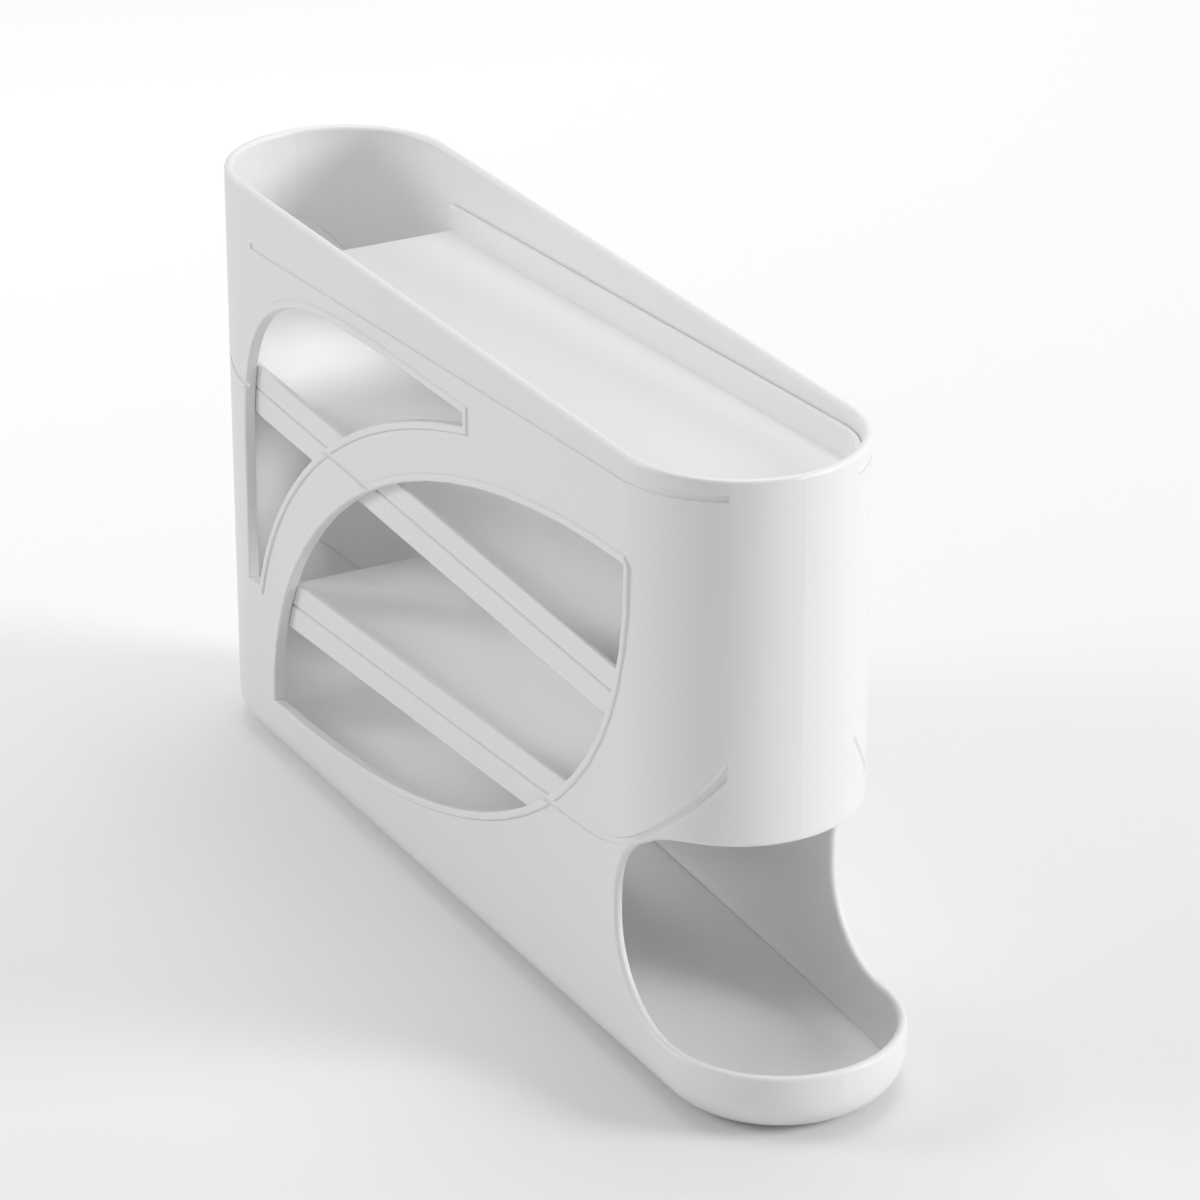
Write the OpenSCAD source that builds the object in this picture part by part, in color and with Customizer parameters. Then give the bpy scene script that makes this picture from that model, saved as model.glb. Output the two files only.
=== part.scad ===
// Rolling organizer for a kitchen shelf: two half shells that meet on the centre plane.
// Four ramps are pegged between them and lead down, to and fro, to the open tray in front.

/* [Body] */
// Overall length from the tray's front to the rear wall
body_length = 382; // [376:1:396]
// Overall width over the plain side walls
body_width = 80; // [78:1:86]
// Height of the level rim
body_height = 208; // [207:1:220]
// How far the tray stands out in front of the tower
tray_reach = 28; // [22:1:34]
// Thickness of the side and end walls
wall = 3; // [2.6:0.1:3.4]
// Thickness of the shells' floor
shell_floor = 2.4; // [1.8:0.1:2.6]
// Radius of the rounded bottom edge
base_round = 14; // [8:1:16]

/* [Tray opening] */
// Height of the tray's lip
lip_height = 22; // [19:1:24]
// Height of the tower's lower front edge
tray_top = 87.8; // [86:0.2:89]
// How far the opening runs back from the tower's front
tray_back = 44.2; // [40:0.2:45]
// Radius of the opening's rounded back corners
tray_corner = 30; // [22:1:32]

/* [Windows] */
// Height of the raised bead around each window
bead_height = 0.8; // [0.4:0.1:1]
// Width of the bead
bead_width = 2.8; // [1.6:0.1:3]
// Distance from the rear wall to the main window's rear end
window_rear = 62; // [60:0.5:66]
// Height of the main window's lowest point
window_low = 23; // [21:0.5:25]
// Distance from the rim down to the main window's highest point
window_drop = 35; // [33:0.5:38]
// Distance from the tower's front to the main window's front end
window_front = 38; // [36:0.5:42]
// Distance from the rear wall to the upper window's rear edge
leaf_rear = 44; // [43:0.5:47]
// Distance from the rim down to the upper window's top
leaf_drop = 24; // [23:0.5:26]
// Height of the upper window's lower tip over the main window's lowest point
leaf_rise = 40; // [38:0.5:42]
// Length of the upper window
leaf_length = 166; // [162:1:170]

/* [Ramps] */
// Thickness of each ramp's floor
ramp_floor = 2.2; // [1.8:0.1:2.2]
// Thickness of each ramp's curbs
curb = 2; // [1.6:0.1:2.4]
// Height of the curbs above the ramp's floor
curb_up = 9.4; // [7:0.2:10]
// Depth of the curbs below the ramp's floor
curb_down = 9.1; // [7:0.1:9.5]
// Depth of the top ramp's curbs below its floor
top_curb_down = 5; // [4:0.5:6]
// Slope of the top ramp in degrees
top_slope = 2.7; // [2.4:0.1:2.8]
// Slope of the second ramp in degrees
second_slope = 2.2; // [2:0.1:2.4]
// Slope of the third ramp in degrees
third_slope = 2.6; // [2.4:0.1:2.8]
// Slope of the bottom ramp in degrees
bottom_slope = 1.6; // [1.5:0.1:1.7]
// Distance from the rim down to the top ramp's floor at mid length
top_drop = 20.5; // [20:0.1:21]
// Distance from the rim down to the second ramp's floor at mid length
second_drop = 80; // [79.5:0.1:80.5]
// Distance from the rim down to the third ramp's floor at mid length
third_drop = 140.5; // [140:0.1:141]
// Length of the hole at a ramp's lower end
drop_length = 49; // [47:0.5:50]
// Radius of the rear ends that sweep upward
rear_sweep = 50; // [48:1:52]
// Radius of the third ramp's front end that sweeps upward
front_sweep = 57; // [54:1:58]
// Gap between a ramp and the shells around it
ramp_gap = 0.2; // [0.1:0.05:0.3]

/* [Grooves and joints] */
// Width of the grooves that mark the ramps outside
groove_width = 2.2; // [1.6:0.1:2.6]
// Depth of the grooves
groove_depth = 0.7; // [0.3:0.1:1]
// Width of the fine line along each ramp's curb
line_width = 1.2; // [0.8:0.1:1.6]
// Depth of the fine line
line_depth = 0.5; // [0.3:0.1:0.8]
// Distance from the centre plane at which a groove stops on the round front
groove_stop = 22; // [16:1:26]
// Radius of the ramps' pegs
peg_r = 2; // [1.6:0.1:2.4]
// Length of the pegs
peg_length = 1.6; // [1.2:0.1:1.8]
// Gap between a peg and its socket
peg_gap = 0.1; // [0.05:0.05:0.2]
// Thickness of the tongue along the seam
tongue = 1; // [0.8:0.1:1.1]
// Height of the tongue
tongue_height = 1.4; // [1:0.1:2]
// Gap between the tongue and its groove
tongue_gap = 0.1; // [0.05:0.05:0.15]

/* [Hidden] */
$fn = 80;
steps = 20;
white = [0.93, 0.93, 0.94];

// Overrun of every cut
over = 1;
half_width = body_width / 2;
rear_end = body_length / 2;
tray_end = -body_length / 2;
tower_end = tray_end + tray_reach;
rear_centre = rear_end - half_width;
tower_centre = tower_end + half_width;
tray_centre = tray_end + half_width;
inner_rear = rear_end - wall;
inner_front = tower_end + wall;
window_high = body_height - window_drop;
leaf_high = body_height - leaf_drop;
leaf_low = window_low + leaf_rise;
top_level = body_height - top_drop;
second_level = body_height - second_drop;
third_level = body_height - third_drop;

// Exponents of the windows' swept outlines
main_upper_power = 2;
main_lower_power = 2.25;
leaf_power = 4;
// Length and height of the upper window's round rear corner
leaf_sweep_length = 147;
leaf_sweep_height = 94;
// Width of the arch between the two windows, at the rear and at the top
arch_rear = 14;
arch_top = 19;

// Where each ramp's straight floor ends and its sweep begins
ramp_end = inner_rear - drop_length;
sweep_start = inner_rear - rear_sweep + ramp_floor;
front_inset = 6;
front_sweep_start = -inner_front - front_sweep - front_inset;
// How deep a peg is rooted in its curb
peg_root_share = 0.9;
// Angles through which the ends sweep, for a floor and for its curbs
floor_turn = 82;
curb_turn = 62;
front_curb_turn = 15;
// How far the second ramp's curbs reach past its floor
arm_reach = 25;
// Distance of each ramp's end pegs from its ends
top_peg_inset = 29;
second_peg_inset = 68;
second_arm_inset = 11;
third_peg_inset = 8;
third_front_inset = 4;

// Peg places along each ramp
top_pegs = [ramp_end - top_peg_inset, 0, inner_front + drop_length];
second_pegs = [sweep_start - second_peg_inset, inner_front + drop_length - arm_reach + second_arm_inset];
third_pegs = [ramp_end - third_peg_inset, -front_sweep_start + third_front_inset];
// The grooves' ends and bends, measured from the walls, and their rise over the ramps' floors
groove_end = 51;
groove_start = 50;
groove_bend = 46;
groove_front_bend = 64;
groove_front_sweep = 66;
groove_turn = 60;
front_groove_turn = 70;
top_groove_rise = 7.2;
groove_rise = 2;

// The bottom ramp's ribs: distance from the centre plane and thickness
rib_offset = 18;
rib = 1.8;

function swept(centre, size, power, from, to) =
    [for (i = [0 : steps])
        let (a = from + (to - from) * i / steps)
            [centre[0] + size[0] * pow(max(cos(a), 0), 2 / power),
             centre[1] + size[1] * pow(max(sin(a), 0), 2 / power)]];

function swept_back(centre, size, power) =
    [for (i = [0 : steps])
        let (a = 90 * i / steps)
            [centre[0] - size[0] * pow(max(cos(a), 0), 2 / power),
             centre[1] - size[1] * pow(max(sin(a), 0), 2 / power)]];

// Main window: an upper sweep from the rear corner to the front one, and a lower sweep back
function main_window(grow) =
    let (rear = rear_end - window_rear,
         front = tower_end + window_front,
         size = [rear - front + grow, window_high - window_low + grow])
        concat(
            swept([front, window_low], size, main_upper_power, 0, 90),
            swept_back([rear, window_high], size, main_lower_power));

// Upper window: a leaf between its own top sweep and the arch over the main window
function leaf_window(grow) =
    let (rear = rear_end - leaf_rear,
         front = rear - leaf_length,
         corner = leaf_high - leaf_sweep_height,
         arch_centre = [tower_end + window_front, window_low + arch_rear],
         arch = [rear_end - window_rear + arch_rear - arch_centre[0] - grow,
                 window_high + arch_top - arch_centre[1] - grow],
         low_angle = asin((leaf_low - grow - arch_centre[1]) / arch[1]),
         high_angle = acos((front - grow - arch_centre[0]) / arch[0]))
        concat(
            swept([rear - leaf_sweep_length, corner], [leaf_sweep_length + grow, leaf_sweep_height + grow],
                leaf_power, 0, 90),
            [[front - grow, leaf_high + grow]],
            swept(arch_centre, arch, 2, high_angle, low_angle),
            [[rear + grow, leaf_low - grow]]);

// A strip along a sloped line that may sweep upward at its far end
function strip(start, bend, level, slope, sweep, reach, up, down) =
    let (at = level + tan(slope) * bend,
         centre = [bend - sweep * sin(slope), at + sweep * cos(slope)],
         count = sweep > 0 ? steps : 0,
         first = level + tan(slope) * start)
        concat(
            [[start, first + up]],
            [for (i = [0 : count])
                let (a = slope + (reach - slope) * i / max(count, 1))
                    centre + (sweep - up) * [sin(a), -cos(a)]],
            [for (i = [count : -1 : 0])
                let (a = slope + (reach - slope) * i / max(count, 1))
                    centre + (sweep + down) * [sin(a), -cos(a)]],
            [[start, first - down]]);

function flipped(points) = [for (p = points) [-p[0], p[1]]];

module side_extrude(from, to) {
    translate([from, 0, 0])
        rotate([90, 0, 90])
            linear_extrude(to - from)
                children();
}

module half_section(r, low, high, round) {
    translate([0, low + round])
        square([r, high - low - round]);
    translate([0, low])
        square([r - round, high - low]);
    translate([r - round, low + round])
        circle(round);
}

// A body with round ends and a rounded bottom edge
module round_prism(r, rear, front, low, high, round) {
    translate([0, rear, 0])
        rotate([90, 0, 0])
            linear_extrude(rear - front) {
                half_section(r, low, high, round);
                mirror([1, 0])
                    half_section(r, low, high, round);
            }
    for (end = [rear, front])
        translate([0, end, 0])
            rotate_extrude()
                half_section(r, low, high, round);
}

// The tower, and under it the longer base that ends in the tray, drawn in by inset all round
module body_form(inset, low, rise) {
    base_height = (lip_height + tray_top) / 2;
    round_prism(half_width - inset, rear_centre, tower_centre, low, body_height + rise, base_round - inset);
    round_prism(half_width - inset, rear_centre, tray_centre, low, base_height + rise, base_round - inset);
}

module tray_opening(grow) {
    back = tower_end + tray_back + grow;
    low = lip_height - grow;
    high = tray_top + grow;
    r = tray_corner + grow;
    side_extrude(-body_width, body_width) {
        translate([tray_end - over, low])
            square([back - r - tray_end + over, high - low]);
        translate([tray_end - over, low + r])
            square([back - tray_end + over, high - low - 2 * r]);
        for (z = [low + r, high - r])
            translate([back - r, z])
                circle(r);
    }
}

module bead(outer, inner) {
    for (side = [-1, 1])
        side_extrude(
            side > 0 ? half_width - wall / 2 : -half_width - bead_height,
            side > 0 ? half_width + bead_height : -half_width + wall / 2)
            difference() {
                polygon(outer);
                polygon(inner);
            }
}

module windows() {
    side_extrude(-body_width, body_width) {
        polygon(main_window(0));
        polygon(leaf_window(0));
    }
}

// Grooves on the outside, each on the line of the ramp behind it
module grooves() {
    up = groove_width / 2;
    difference() {
        side_extrude(-body_width, body_width) {
            polygon(flipped(strip(
                groove_end - rear_end, -tower_end, top_level + top_groove_rise, top_slope, 0, 0, up, up)));
            polygon(strip(
                groove_start, rear_end - groove_bend, second_level + groove_rise, second_slope,
                rear_sweep, groove_turn, up, up));
            polygon(flipped(strip(
                groove_start, -tower_end - groove_front_bend, third_level + groove_rise, third_slope,
                groove_front_sweep, front_groove_turn, up, up)));
        }
        body_form(groove_depth, -over, over);
        cube([2 * groove_stop, 2 * body_length, 3 * body_height], center = true);
    }
}

module peg_row(places, level, slope, r, from, to) {
    for (y = places)
        for (side = [0, 1])
            mirror([side, 0, 0])
                translate([from, y, level + tan(slope) * y])
                    rotate([0, 90, 0])
                        cylinder(r = r, h = to - from);
}

module sockets() {
    depth = half_width - wall + peg_length + peg_gap;
    r = peg_r + peg_gap;
    start = half_width - wall - over;
    peg_row(top_pegs, top_level, -top_slope, r, start, depth);
    peg_row(second_pegs, second_level, second_slope, r, start, depth);
    peg_row(third_pegs, third_level, -third_slope, r, start, depth);
}

module whole_shell() {
    difference() {
        union() {
            body_form(0, 0, 0);
            bead(main_window(bead_width), main_window(0));
            bead(leaf_window(bead_width), leaf_window(0));
        }
        body_form(wall, shell_floor, over);
        tray_opening(0);
        windows();
        grooves();
        sockets();
    }
}

// The thin layer inside the walls that carries the seam's tongue
module seam_layer(gap, height) {
    mid = wall / 2;
    intersection() {
        difference() {
            body_form(mid - tongue / 2 - gap, (shell_floor - tongue) / 2 - gap, -mid + gap);
            body_form(mid + tongue / 2 + gap, (shell_floor + tongue) / 2 + gap, over);
            tray_opening(mid - gap);
        }
        translate([0, -body_length, -over])
            cube([height, 2 * body_length, 2 * body_height]);
    }
}

module left_shell() {
    color(white) {
        intersection() {
            whole_shell();
            translate([-body_width, -body_length, -over])
                cube([body_width, 2 * body_length, 2 * body_height]);
        }
        seam_layer(0, tongue_height);
    }
}

module right_shell() {
    color(white)
        difference() {
            intersection() {
                whole_shell();
                translate([0, -body_length, -over])
                    cube([body_width, 2 * body_length, 2 * body_height]);
            }
            seam_layer(tongue_gap, tongue_height + tongue_gap);
        }
}

// The room between the shells that a ramp fills
module ramp_room(inset) {
    round_prism(half_width - wall - inset, rear_centre, tower_centre, shell_floor, body_height, base_round - wall);
}

// A ramp: a floor, and curbs that follow the wall round it, each with a fine line along it
module ramp(floor_strip, curb_strip, line_strip) {
    intersection() {
        ramp_room(ramp_gap);
        side_extrude(-body_width, body_width)
            polygon(floor_strip);
    }
    intersection() {
        difference() {
            ramp_room(ramp_gap);
            ramp_room(ramp_gap + curb);
            difference() {
                side_extrude(-body_width, body_width)
                    polygon(line_strip);
                ramp_room(ramp_gap + line_depth);
            }
        }
        side_extrude(-body_width, body_width)
            polygon(curb_strip);
    }
}

module ramp_pegs(places, level, slope) {
    start = half_width - wall - ramp_gap - curb * peg_root_share;
    peg_row(places, level, slope, peg_r, start, half_width - wall + peg_length);
}

module top_ramp() {
    line = line_width / 2;
    color(white) {
        ramp(
            flipped(strip(-ramp_end, -tower_end, top_level, top_slope, 0, 0, 0, ramp_floor)),
            flipped(strip(-ramp_end, -tower_end, top_level, top_slope, 0, 0, curb_up, top_curb_down)),
            flipped(strip(-ramp_end, -tower_end, top_level, top_slope, 0, 0, line, line)));
        ramp_pegs(top_pegs, top_level, -top_slope);
    }
}

module second_ramp() {
    start = inner_front + drop_length;
    line = line_width / 2;
    color(white) {
        ramp(
            strip(start, sweep_start, second_level, second_slope, rear_sweep, floor_turn, 0, ramp_floor),
            strip(start - arm_reach, sweep_start, second_level, second_slope, rear_sweep, curb_turn,
                curb_up, curb_down),
            strip(start, sweep_start, second_level, second_slope, rear_sweep, curb_turn, line, line));
        ramp_pegs(second_pegs, second_level, second_slope);
    }
}

module third_ramp() {
    line = line_width / 2;
    color(white) {
        ramp(
            flipped(strip(-ramp_end, front_sweep_start, third_level, third_slope, front_sweep, floor_turn,
                0, ramp_floor)),
            flipped(strip(-ramp_end, front_sweep_start, third_level, third_slope, front_sweep,
                front_curb_turn, curb_up, curb_down)),
            flipped(strip(-ramp_end, front_sweep_start, third_level, third_slope, front_sweep,
                front_curb_turn, line, line)));
        ramp_pegs(third_pegs, third_level, -third_slope);
    }
}

// The bottom ramp lies on the shells' floor and runs out into the tray
module tray_room() {
    round_prism(half_width - wall - ramp_gap, rear_centre, tray_centre, shell_floor, body_height,
        base_round - wall);
}

module bottom_ramp() {
    front = tray_end + wall + ramp_gap;
    rise = tan(bottom_slope);
    level = shell_floor + ramp_floor - rise * front;
    color(white) {
        intersection() {
            tray_room();
            side_extrude(-body_width, body_width)
                polygon(strip(front, sweep_start, level, bottom_slope, rear_sweep, floor_turn, 0, ramp_floor));
        }
        for (side = [-1, 1])
            intersection() {
                tray_room();
                side_extrude(side * rib_offset - rib / 2, side * rib_offset + rib / 2)
                    polygon([
                        [front, shell_floor],
                        [sweep_start, shell_floor],
                        [sweep_start, level + rise * sweep_start - ramp_floor / 2],
                        [front, level + rise * front - ramp_floor / 2]
                    ]);
            }
    }
}

left_shell();
right_shell();
top_ramp();
second_ramp();
third_ramp();
bottom_ramp();
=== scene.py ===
"""Looks for the rolling organizer: soft white moulded plastic on a pale floor."""

import math

import bmesh
import bpy
from mathutils import Matrix, Vector


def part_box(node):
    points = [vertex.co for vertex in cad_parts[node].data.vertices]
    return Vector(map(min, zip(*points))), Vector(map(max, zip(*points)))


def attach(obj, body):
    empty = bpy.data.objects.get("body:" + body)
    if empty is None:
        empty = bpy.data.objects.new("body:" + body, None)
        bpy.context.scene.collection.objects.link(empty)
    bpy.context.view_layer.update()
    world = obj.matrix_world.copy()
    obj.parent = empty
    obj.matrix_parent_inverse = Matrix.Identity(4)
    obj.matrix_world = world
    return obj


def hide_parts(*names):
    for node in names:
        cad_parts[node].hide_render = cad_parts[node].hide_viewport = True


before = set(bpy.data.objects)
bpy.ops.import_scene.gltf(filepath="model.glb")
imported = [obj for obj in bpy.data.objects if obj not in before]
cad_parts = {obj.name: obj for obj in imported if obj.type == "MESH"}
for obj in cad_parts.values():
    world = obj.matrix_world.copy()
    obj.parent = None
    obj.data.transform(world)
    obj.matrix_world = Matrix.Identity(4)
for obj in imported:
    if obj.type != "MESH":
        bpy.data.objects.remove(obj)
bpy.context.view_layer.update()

MM = 0.001
SHELLS = ("left_shell", "right_shell")
RAMPS = ("top_ramp", "second_ramp", "third_ramp", "bottom_ramp")

# The camera in the part's own frame: its place and its three directions
CAMERA_PLACE = Vector((-730.91, -1392.74, 807.88)) * MM
CAMERA_RIGHT = Vector((0.88033, -0.47436, -0.00094))
CAMERA_UP = Vector((0.19462, 0.35938, 0.91267))
CAMERA_FORWARD = Vector((0.43260, 0.80364, -0.40869))
CAMERA_LENS = 158.42
CAMERA_SENSOR = 36
CAMERA_NEAR = 0.05
CAMERA_FAR = 50

# The white plastic and its faint moulded grain
PLASTIC_COLOUR = (0.87, 0.86, 0.865)
PLASTIC_ROUGHNESS = 0.38
PLASTIC_SHINE = 0.45
GRAIN_SCALE = 2600
GRAIN_DETAIL = 2
GRAIN_STRENGTH = 0.04
GRAIN_DEPTH = 0.05 * MM

# The floor in metres, and its painted light: a glow that only the camera sees, faint in front of the part
# and strong far behind, which paints the floor brighter towards the back
FLOOR_SIZE = 12
FLOOR_COLOUR = (0.81, 0.805, 0.81)
FLOOR_ROUGHNESS = 0.8
FLOOR_SHINE = 0.1
FLOOR_PAINTED_LIGHT_FRONT = 0.04
FLOOR_PAINTED_LIGHT_BACK = 0.34
PAINTED_LIGHT_FRONT_Y = -0.15
PAINTED_LIGHT_BACK_Y = 0.75

# The world's light, and the white that the camera sees in its place
WORLD_COLOUR = (1.0, 0.99, 1.0)
WORLD_STRENGTH = 0.39
BACKDROP_STRENGTH = 1.0

# The lamps: name, place in metres, width in metres and power in watts
LAMPS = (
    ("key", (1.7, -1.45, 1.0), 0.9, 29.5),
    ("fill", (-1.9, 1.3, 1.1), 1.0, 17),
    ("top", (0.3, 0.3, 2.0), 1.5, 15),
)
LAMP_AIM = (0, 0, 0.1)

# Edges above the sharp angle are rounded, those below it are shaded smooth, and flat ones are merged away
SHARP_ANGLE = math.radians(30)
FLAT_ANGLE = math.radians(1)

# Points this close are welded, edges this short are dropped, and NEAR is the slack of the tests on places
WELD = 0.002 * MM
TINY = 0.05 * MM
NEAR = 0.05 * MM

# Radii of the rounded edges, and the steps round each
RIM_ROUND = 1.2 * MM
BEAD_ROUND = 0.7 * MM
FRAME_ROUND = 0.3 * MM
RAMP_ROUND = 0.5 * MM
EDGE_STEPS = 3

# The tray's opening: heights of its lip and top, how far back it runs, and the radius of its corners
LIP = 22 * MM
TRAY_TOP = 87.8 * MM
TRAY_BACK = -118.8 * MM
TRAY_CORNER = 30 * MM

# The rim's height and the beads' outer face, from the frame
SHELL_LOW, SHELL_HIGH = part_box("left_shell")
RIM = SHELL_HIGH[2]
BEAD_FACE = -SHELL_LOW[0]


def make_camera():
    """The camera from its place and directions above."""
    camera = bpy.data.objects.new("camera", bpy.data.cameras.new("camera"))
    bpy.context.collection.objects.link(camera)
    turn = Matrix((CAMERA_RIGHT, CAMERA_UP, -CAMERA_FORWARD)).transposed()
    camera.matrix_world = Matrix.Translation(CAMERA_PLACE) @ turn.to_4x4()
    camera.data.sensor_width = CAMERA_SENSOR
    camera.data.lens = CAMERA_LENS
    camera.data.clip_start = CAMERA_NEAR
    camera.data.clip_end = CAMERA_FAR
    bpy.context.scene.camera = camera


def shaded(name, colour, roughness, shine):
    """A new material with its plain values, and the shader that holds them."""
    material = bpy.data.materials.new(name)
    material.use_nodes = True
    surface = material.node_tree.nodes["Principled BSDF"]
    surface.inputs["Base Color"].default_value = (*colour, 1)
    surface.inputs["Roughness"].default_value = roughness
    surface.inputs["Specular IOR Level"].default_value = shine
    return material, surface


def make_plastic():
    """Satin white plastic with a faint moulded grain."""
    material, surface = shaded("white_plastic_satin", PLASTIC_COLOUR, PLASTIC_ROUGHNESS, PLASTIC_SHINE)
    nodes = material.node_tree.nodes
    links = material.node_tree.links
    place = nodes.new("ShaderNodeTexCoord")
    grain = nodes.new("ShaderNodeTexNoise")
    grain.inputs["Scale"].default_value = GRAIN_SCALE
    grain.inputs["Detail"].default_value = GRAIN_DETAIL
    bump = nodes.new("ShaderNodeBump")
    bump.inputs["Strength"].default_value = GRAIN_STRENGTH
    bump.inputs["Distance"].default_value = GRAIN_DEPTH
    links.new(place.outputs["Object"], grain.inputs["Vector"])
    links.new(grain.outputs["Fac"], bump.inputs["Height"])
    links.new(bump.outputs["Normal"], surface.inputs["Normal"])
    return material


def on_opening(point):
    """True for a point on the cut surface of the tray's opening, seen from the side."""
    middle_y = TRAY_BACK - TRAY_CORNER
    if point.y < middle_y:
        return min(abs(point.z - LIP), abs(point.z - TRAY_TOP)) < NEAR
    middle_z = min(max(point.z, LIP + TRAY_CORNER), TRAY_TOP - TRAY_CORNER)
    return abs(math.hypot(point.y - middle_y, point.z - middle_z) - TRAY_CORNER) < 2 * NEAR


def shell_round(start, end):
    """Radius for a shell's edge between two points: none on the seam, large on the rim, lip and opening."""
    if abs(start.x) < NEAR and abs(end.x) < NEAR:
        return 0
    if min(start.z, end.z) > RIM - NEAR:
        return RIM_ROUND
    if on_opening(start) and on_opening(end):
        return RIM_ROUND
    if min(abs(start.x), abs(end.x)) > BEAD_FACE - NEAR:
        return BEAD_ROUND
    return FRAME_ROUND


def ramp_round(start, end):
    """Radius for a ramp's edge: the same on all of them."""
    return RAMP_ROUND


def dress(name, radius_of, material):
    """A copy of the node's mesh with merged faces and rounded edges."""
    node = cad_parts[name]
    shape = bmesh.new()
    shape.from_mesh(node.data)
    bmesh.ops.remove_doubles(shape, verts=shape.verts, dist=WELD)
    bmesh.ops.dissolve_degenerate(shape, edges=shape.edges, dist=TINY)
    bmesh.ops.dissolve_limit(shape, angle_limit=FLAT_ANGLE, verts=shape.verts, edges=shape.edges)
    weight = shape.edges.layers.float.new("bevel_weight_edge")
    for edge in shape.edges:
        sharp = len(edge.link_faces) == 2 and edge.calc_face_angle() > SHARP_ANGLE
        edge.smooth = not sharp
        if sharp:
            start, end = (corner.co for corner in edge.verts)
            edge[weight] = radius_of(start, end) / RIM_ROUND
    for face in shape.faces:
        face.smooth = True
    mesh = bpy.data.meshes.new(name + "_skin")
    shape.to_mesh(mesh)
    shape.free()
    mesh.materials.append(material)
    skin = bpy.data.objects.new(name + "_skin", mesh)
    bpy.context.collection.objects.link(skin)
    bevel = skin.modifiers.new("rounded_edges", "BEVEL")
    bevel.width = RIM_ROUND
    bevel.segments = EDGE_STEPS
    bevel.limit_method = "WEIGHT"
    bevel.use_clamp_overlap = False
    bevel.miter_outer = "MITER_SHARP"
    shading = skin.modifiers.new("flat_shading", "WEIGHTED_NORMAL")
    shading.keep_sharp = True
    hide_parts(name)
    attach(skin, "root")


def make_floor():
    """A pale floor with painted light: a glow that only the camera sees, brighter towards the back, so it
    adds no light to the part.
    """
    bpy.ops.mesh.primitive_plane_add(size=FLOOR_SIZE)
    floor = bpy.context.object
    floor.name = "floor"
    material, surface = shaded("pale_floor_painted_light", FLOOR_COLOUR, FLOOR_ROUGHNESS, FLOOR_SHINE)
    surface.inputs["Emission Color"].default_value = (*FLOOR_COLOUR, 1)
    nodes = material.node_tree.nodes
    links = material.node_tree.links
    # Painted light: a camera-only glow on the floor that rises with Y, from faint in front of the part to
    # strong far behind
    ray = nodes.new("ShaderNodeLightPath")
    place = nodes.new("ShaderNodeTexCoord")
    split = nodes.new("ShaderNodeSeparateXYZ")
    painted_light_ramp = nodes.new("ShaderNodeMapRange")
    painted_light_ramp.inputs["From Min"].default_value = PAINTED_LIGHT_FRONT_Y
    painted_light_ramp.inputs["From Max"].default_value = PAINTED_LIGHT_BACK_Y
    painted_light_ramp.inputs["To Min"].default_value = FLOOR_PAINTED_LIGHT_FRONT
    painted_light_ramp.inputs["To Max"].default_value = FLOOR_PAINTED_LIGHT_BACK
    painted_light = nodes.new("ShaderNodeMath")
    painted_light.operation = "MULTIPLY"
    links.new(place.outputs["Object"], split.inputs["Vector"])
    links.new(split.outputs["Y"], painted_light_ramp.inputs["Value"])
    links.new(painted_light_ramp.outputs["Result"], painted_light.inputs[1])
    links.new(ray.outputs["Is Camera Ray"], painted_light.inputs[0])
    links.new(painted_light.outputs[0], surface.inputs["Emission Strength"])
    floor.data.materials.append(material)


def area_light(name, place, size, power):
    """A round lamp that faces the part."""
    light = bpy.data.objects.new(name, bpy.data.lights.new(name, "AREA"))
    bpy.context.collection.objects.link(light)
    light.data.shape = "DISK"
    light.data.size = size
    light.data.energy = power
    light.location = place
    light.rotation_euler = (Vector(LAMP_AIM) - Vector(place)).to_track_quat("-Z", "Y").to_euler()


def make_light():
    """Soft light from all round, a white backdrop for the camera alone, and the lamps."""
    world = bpy.data.worlds.new("studio")
    world.use_nodes = True
    nodes = world.node_tree.nodes
    links = world.node_tree.links
    background = nodes["Background"]
    background.inputs["Color"].default_value = (*WORLD_COLOUR, 1)
    ray = nodes.new("ShaderNodeLightPath")
    seen = nodes.new("ShaderNodeMapRange")
    seen.inputs["To Min"].default_value = WORLD_STRENGTH
    seen.inputs["To Max"].default_value = BACKDROP_STRENGTH
    links.new(ray.outputs["Is Camera Ray"], seen.inputs["Value"])
    links.new(seen.outputs["Result"], background.inputs["Strength"])
    bpy.context.scene.world = world
    for name, place, size, power in LAMPS:
        area_light(name, place, size, power)
    bpy.context.scene.view_settings.view_transform = "Standard"


make_camera()
plastic = make_plastic()
for name in SHELLS:
    dress(name, shell_round, plastic)
for name in RAMPS:
    dress(name, ramp_round, plastic)
make_floor()
make_light()

bpy.context.view_layer.update()
